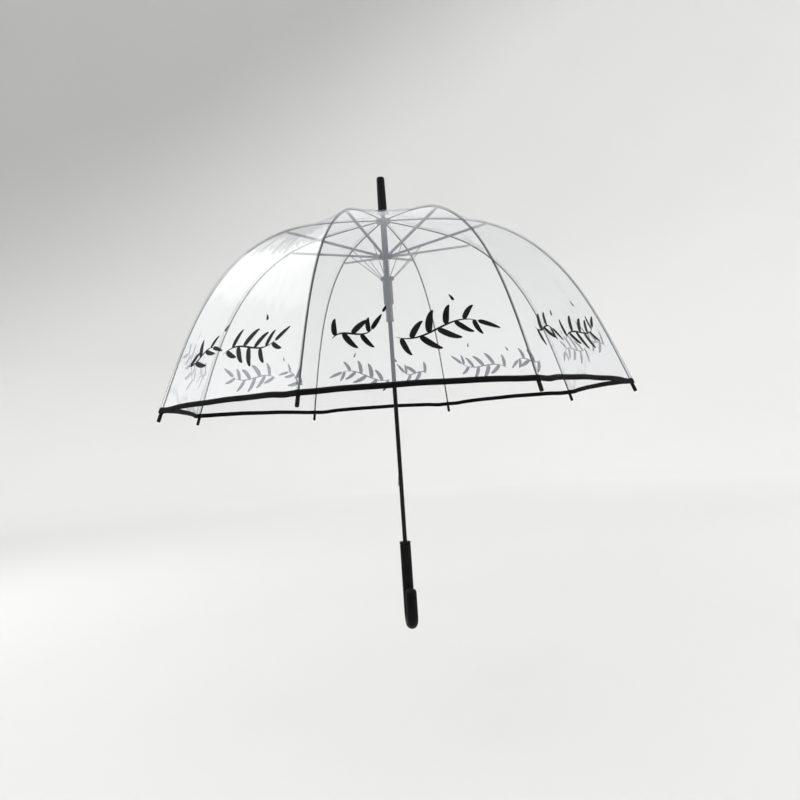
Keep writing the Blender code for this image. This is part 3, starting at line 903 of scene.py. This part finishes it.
# ---------------------------------------------------------------- shaft line
def shaft_line():
    dress("shaft", SHAFT_MAT, 0.0003)
    dress("top_notch", NOTCH_MAT, 0.0003)
    dress("upper_runner", HUB_MAT, 0.0003)
    dress("lower_runner", RUNNER_MAT, 0.0003)
    dress("catch", LEAF_MAT, 0.0001)
    ferrule()
    washer()
    # wires that hold the ribs in the notch and the struts in the runner
    for name, z, body in (("notch", NOTCH[1], "frame"), ("hub", HUB[1], "upper_slider"),
                          ("runner", STRUT_FOOT[1], "lower_slider")):
        fit(ring_torus(f"{name}_wire", 0.0112, 0.00045, z, RIVET), body)
    coil_spring()
    runner_guides()


def ferrule():
    """Fluted spike with a foot and a collared nose."""
    base, top = FERRULE_BASE, FERRULE_TOP
    foot = [(0.0043, base + 0.001), (0.0081, base), (0.0087, base + 0.0006), (0.0087, base + 0.0034),
            (0.0083, base + 0.0040)]
    low, high = base + 0.0046, top - 0.0140
    barrel = [(0.0084 - 0.0007 * t, low + (high - low) * t) for t in np.linspace(0, 1, 12)]
    nose = [(0.0074, top - 0.0134), (0.0072, top - 0.0128), (0.0072, top - 0.0122),
            (0.0077, top - 0.0116), (0.0075, top - 0.0040), (0.0072, top - 0.0018),
            (0.0064, top - 0.0005), (0.0052, top), (0.0, top)]
    profile = (foot + barrel + nose)[::-1]
    first = len(nose) + 1
    last = len(nose) + len(barrel) - 2

    def flute(i, t):
        if not first <= i <= last:
            return 0.0
        return -FLUTE_DEPTH * (0.5 + 0.5 * math.cos(FLUTES * t))

    obj = lathe("ferrule_fluted", profile, FERRULE_MAT, 8 * FLUTES, flute)
    fit(obj, "frame", "ferrule")


def washer():
    z = FERRULE_BASE - 0.0019
    profile = [(0.0043, z + 0.0015), (0.0100, z + 0.0015), (0.0108, z + 0.0012), (0.0112, z + 0.0006),
               (0.0110, z + 0.0001), (0.0104, z), (0.0043, z)]
    obj = lathe("rosette_washer", profile, WASHER_MAT, 64)
    fit(obj, "frame", "canopy_washer")


def coil_spring():
    """The coil between the runners, riding the lower runner."""
    low, high = STRUT_FOOT[1] + 0.0040, HUB[1] - 0.0052
    count = SPRING_TURNS * 32
    pts = []
    for i in range(count + 1):
        a = math.tau * SPRING_TURNS * i / count
        pts.append((SPRING_R * math.cos(a), SPRING_R * math.sin(a), low + (high - low) * i / count))
    obj = tube("coil_spring", pts, [SPRING_WIRE] * len(pts), SPRING, 10)
    fit(obj, "lower_slider", "spring")
    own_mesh(obj)


def runner_guides():
    """Raised guides on the runner's sleeve."""
    top = STRUT_FOOT[1] - 0.0060
    for i in range(4):
        a = PART / 2 + i * math.tau / 4
        line = [(0.0090 * math.cos(a), 0.0090 * math.sin(a), z) for z in np.linspace(top - 0.040, top, 5)]
        obj = rod(f"runner_rib_{i + 1}", line, 0.0008, RUNNER_MAT, 12)
        fit(obj, "lower_slider")


# ---------------------------------------------------------------- handle
# distance from an end of the grip and radius there
GRIP_TOP = [(0.0, 0.0088), (0.0004, 0.0094), (0.0012, 0.0098), (0.0026, 0.0100)]
GRIP_END = [(0.0040, 0.00985), (0.0024, 0.0093), (0.0012, 0.0084), (0.0004, 0.0072), (0.0, 0.0058)]


def handle():
    """The hooked grip: straight, half a turn a little fatter at its middle, and a short end."""
    knots = [(0, HANDLE_TOP - down, r) for down, r in GRIP_TOP]
    knots += [(0, z, GRIP_R) for z in np.linspace(HANDLE_TOP - 0.006, 0.040, 16)]
    for i in range(1, 40):
        turn = math.pi * i / 40
        y = -BEND_R + BEND_R * math.cos(turn)
        knots.append((y, BEND_Z - BEND_R * math.sin(turn), GRIP_R + GRIP_SWELL * math.sin(turn)))
    knots += [(-2 * BEND_R, z, GRIP_R) for z in np.linspace(0.040, HOOK_END - 0.0055, 6)]
    knots += [(-2 * BEND_R, HOOK_END - down, r) for down, r in GRIP_END]
    obj = tube("crook_grip", [(0, y, z) for y, z, _ in knots], [r for _, _, r in knots], GRIP_MAT, 48)
    fit(obj, "frame", "handle")

    z = HANDLE_TOP + 0.0003
    profile = [(0.0043, z + 0.0041), (0.0090, z + 0.0041), (0.0100, z + 0.0036), (0.0104, z + 0.0028),
               (0.0104, z + 0.0022), (0.0101, z + 0.0020), (0.0101, z + 0.0016), (0.0104, z + 0.0014),
               (0.0103, z + 0.0004), (0.0098, z), (0.0043, z)]
    fit(lathe("grip_collar", profile, RING_MAT, 64), "frame", "handle_ring")


# ---------------------------------------------------------------- stage
# painted shade on the floor: greyer near the umbrella than far out
FLOOR_TONE = 0.68
FLOOR_FAR = 0.90
# painted shade on the wall: darker high up and toward one upper corner
WALL_TONE = 0.90
WALL_HIGH = 0.77
CORNER_SHADE = 0.27
SWEEP_FLAT = 5.0
SWEEP_BEND = 3.0
SWEEP_TOP = 6.8


def stage():
    """One seamless pale sweep under and around the umbrella."""
    rows = [(r, FLOOR_Z) for r in (0.0, 0.5, 1.0, 2.0, 3.0, 4.0, SWEEP_FLAT)]
    for a in np.linspace(0.12, math.pi / 2, 10):
        rows.append((SWEEP_FLAT + SWEEP_BEND * math.sin(a), FLOOR_Z + SWEEP_BEND * (1 - math.cos(a))))
    rows.append((SWEEP_FLAT + SWEEP_BEND, SWEEP_TOP))
    verts, faces = [], []
    steps = 64
    for r, z in rows:
        for j in range(steps):
            t = math.tau * j / steps
            verts.append((max(r, 0.01) * math.cos(t), max(r, 0.01) * math.sin(t), z))
    for i in range(len(rows) - 1):
        for j in range(steps):
            k = (j + 1) % steps
            faces.append((i * steps + j, (i + 1) * steps + j, (i + 1) * steps + k, i * steps + k))
    faces.append(tuple(range(steps)))
    add_mesh("sweep", verts, faces, sweep_paper())


def sweep_paper():
    """Pale paper with painted shade: greyer underfoot, and darker up the wall and toward one upper corner
    of the wall.
    """
    n = Nodes("sweep_paper")
    at = n.coords()
    axes = n.add("ShaderNodeSeparateXYZ")
    n.link(at, axes.inputs["Vector"])
    height, across = axes.outputs["Z"], axes.outputs["X"]
    # painted shade: the wall darkens upward and to the left, most of all in the upper corner
    corner = n.math("SUBTRACT", n.math("MULTIPLY", height, 0.8), n.math("MULTIPLY", across, 0.5))
    wall = n.math("SUBTRACT", n.remap(corner, -0.4, 3.1, WALL_TONE, WALL_HIGH),
                  n.remap(corner, 2.6, 5.0, 0.0, CORNER_SHADE, "SMOOTHSTEP"))
    reach = n.add("ShaderNodeVectorMath", operation="LENGTH")
    n.link(at, reach.inputs[0])
    # painted shade: the floor is greyer near the umbrella and lighter far out
    floor = n.remap(reach.outputs["Value"], 1.0, SWEEP_FLAT, FLOOR_TONE, FLOOR_FAR)
    tone = n.mix_color(n.remap(height, 0.0, 1.4, 0.0, 1.0), floor, wall)
    drift = n.remap(n.noise(at, 0.6, 3.0), 0.3, 0.7, 0.98, 1.0)
    color = n.add("ShaderNodeVectorMath", operation="SCALE")
    n.link(tone, color.inputs[0])
    n.link(drift, color.inputs["Scale"])
    normal = n.bump(n.noise(at, 300.0), 0.03, 0.001)
    return n.done(n.principled(color.outputs[0], 0.85, 0.0, normal, 0.1))


def lamp(name, place, target, size, power):
    data = bpy.data.lights.new(name, "AREA")
    data.shape = "RECTANGLE"
    data.size, data.size_y = size
    data.energy = power
    obj = bpy.data.objects.new(name, data)
    bpy.context.scene.collection.objects.link(obj)
    obj.location = place
    obj.rotation_euler = (Vector(target) - Vector(place)).to_track_quat("-Z", "Y").to_euler()
    obj.visible_camera = False


def lights():
    """A pale room, two soft lamps and a sheet of light that the left panels mirror."""
    scene = bpy.context.scene
    sky = bpy.data.worlds.new("pale_room")
    sky.use_nodes = True
    sky.node_tree.nodes["Background"].inputs["Color"].default_value = (1.0, 1.0, 0.985, 1)
    sky.node_tree.nodes["Background"].inputs["Strength"].default_value = 1.22
    scene.world = sky
    lamp("sheet_left", (-2.1, 0.87, 1.95), (-0.27, -0.27, 0.50), (2.4, 2.2), 27)
    lamp("key_left", (-2.6, -2.2, 2.4), (0, 0, 0.5), (1.4, 1.4), 20)
    lamp("fill_right", (2.8, -1.2, 1.8), (0, 0, 0.5), (1.4, 1.8), 30)
    scene.view_settings.view_transform = "Standard"


STAND_TURN = math.radians(-5.0)
STAND_AWAY = 3.185 * RIM_R
STAND_BELOW = 0.1414 * RIM_R
YAW, PITCH, ROLL = 0.0064, 0.0440, -0.0683
LENS = 32.22


def camera():
    """The photographer's stand: low, a little below the rim, and rolled."""
    c, s = math.cos(STAND_TURN), math.sin(STAND_TURN)
    spin = np.array([[c, -s, 0], [s, c, 0], [0, 0, 1]])
    forward = np.array([math.sin(YAW) * math.cos(PITCH), math.cos(YAW) * math.cos(PITCH), math.sin(PITCH)])
    level = np.array([math.cos(YAW), -math.sin(YAW), 0.0])
    up = np.cross(level, forward)
    right = math.cos(ROLL) * level + math.sin(ROLL) * up
    top = -math.sin(ROLL) * level + math.cos(ROLL) * up
    data = bpy.data.cameras.new("photo_view")
    data.sensor_width = 36.0
    data.lens = LENS
    data.clip_start = 0.05
    data.clip_end = 60
    obj = bpy.data.objects.new("photo_view", data)
    bpy.context.scene.collection.objects.link(obj)
    matrix = np.eye(4)
    matrix[:3, :3] = np.stack([spin @ right, spin @ top, -(spin @ forward)], 1)
    matrix[:3, 3] = spin @ np.array([0, -STAND_AWAY, 0]) + np.array([0, 0, RIM_Z - STAND_BELOW])
    obj.matrix_world = Matrix(matrix.tolist())
    bpy.context.scene.camera = obj


canopy_panels()
welds()
hem_tape()
motif()
rib_rods()
linkage()
shaft_line()
handle()
stage()
lights()
camera()
